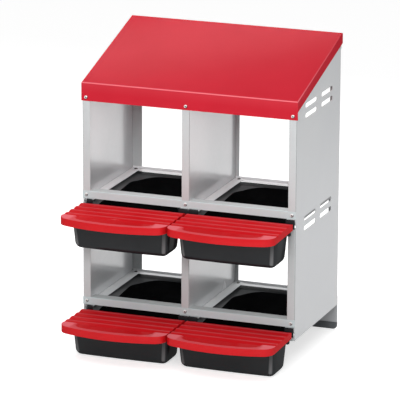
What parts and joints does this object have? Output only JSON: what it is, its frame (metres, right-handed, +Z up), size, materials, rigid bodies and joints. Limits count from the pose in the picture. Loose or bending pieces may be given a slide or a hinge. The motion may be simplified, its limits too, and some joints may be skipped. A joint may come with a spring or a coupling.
{
  "type": "roll out nest box",
  "caption": "Sheet steel poultry nest box on two levels with a sloping roof, sliding nest pans that roll eggs forward, and hinged lids over the egg trays.",
  "frame": {"origin": "middle of the footprint, on the ground", "axes": "+Z up, -Y towards the front with the egg trays, +X to the right seen from the front"},
  "size_m": [0.6254, 0.588, 0.855],
  "materials": {
    "steel_sheet": "smooth zinc coated sheet, satin with soft reflections",
    "red_roof_paint": "smooth red powder coat",
    "black_pan_plastic": "black moulded plastic, satin",
    "red_lid_plastic": "red moulded plastic, gloss",
    "black_rubber": "black edge trim",
    "zinc_fasteners": "bright zinc plate"
  },
  "bodies": {
    "cabinet": {"left_side_panel": "steel_sheet", "right_side_panel": "steel_sheet", "centre_divider": "steel_sheet", "roof": "red_roof_paint", "rear_header": "steel_sheet", "rear_foot": "steel_sheet", "foot_trim": "black_rubber", "lower_front_rail": "steel_sheet", "upper_front_rail": "steel_sheet", "lower_left_outer_runner": "steel_sheet", "lower_left_inner_runner": "steel_sheet", "lower_right_outer_runner": "steel_sheet", "lower_right_inner_runner": "steel_sheet", "upper_left_outer_runner": "steel_sheet", "upper_left_inner_runner": "steel_sheet", "upper_right_outer_runner": "steel_sheet", "upper_right_inner_runner": "steel_sheet", "lower_left_rear_ledge": "steel_sheet", "lower_right_rear_ledge": "steel_sheet", "upper_left_rear_ledge": "steel_sheet", "upper_right_rear_ledge": "steel_sheet", "fascia_screws": "zinc_fasteners", "lower_rail_screws": "zinc_fasteners", "upper_rail_screws": "zinc_fasteners", "lower_floor_screws": "zinc_fasteners", "upper_floor_screws": "zinc_fasteners", "header_screws": "zinc_fasteners", "foot_screws": "zinc_fasteners"},
    "lower_left_drawer": {"lower_left_nest_pan": "black_pan_plastic", "lower_left_hinge_pins": "zinc_fasteners"},
    "lower_left_cover": {"lower_left_lid": "red_lid_plastic"},
    "lower_right_drawer": {"lower_right_nest_pan": "black_pan_plastic", "lower_right_hinge_pins": "zinc_fasteners"},
    "lower_right_cover": {"lower_right_lid": "red_lid_plastic"},
    "upper_left_drawer": {"upper_left_nest_pan": "black_pan_plastic", "upper_left_hinge_pins": "zinc_fasteners"},
    "upper_left_cover": {"upper_left_lid": "red_lid_plastic"},
    "upper_right_drawer": {"upper_right_nest_pan": "black_pan_plastic", "upper_right_hinge_pins": "zinc_fasteners"},
    "upper_right_cover": {"upper_right_lid": "red_lid_plastic"}
  },
  "joints": [
    {"name": "lower_left_drawer_slide", "type": "slide", "parent": "cabinet", "child": "lower_left_drawer", "axis": [0, -1, 0], "range_m": [0, 0.25]},
    {"name": "lower_left_lid_hinge", "type": "hinge", "parent": "lower_left_drawer", "child": "lower_left_cover", "pos_m": [-0.1535, -0.1, 0.092], "axis": [-1, 0, 0], "range_deg": [0, 90]},
    {"name": "lower_right_drawer_slide", "type": "slide", "parent": "cabinet", "child": "lower_right_drawer", "axis": [0, -1, 0], "range_m": [0, 0.25]},
    {"name": "lower_right_lid_hinge", "type": "hinge", "parent": "lower_right_drawer", "child": "lower_right_cover", "pos_m": [0.1559, -0.1, 0.092], "axis": [-1, 0, 0], "range_deg": [0, 90]},
    {"name": "upper_left_drawer_slide", "type": "slide", "parent": "cabinet", "child": "upper_left_drawer", "axis": [0, -1, 0], "range_m": [0, 0.25]},
    {"name": "upper_left_lid_hinge", "type": "hinge", "parent": "upper_left_drawer", "child": "upper_left_cover", "pos_m": [-0.1535, -0.1, 0.397], "axis": [-1, 0, 0], "range_deg": [0, 90]},
    {"name": "upper_right_drawer_slide", "type": "slide", "parent": "cabinet", "child": "upper_right_drawer", "axis": [0, -1, 0], "range_m": [0, 0.25]},
    {"name": "upper_right_lid_hinge", "type": "hinge", "parent": "upper_right_drawer", "child": "upper_right_cover", "pos_m": [0.1559, -0.1, 0.397], "axis": [-1, 0, 0], "range_deg": [0, 90]}
  ]
}
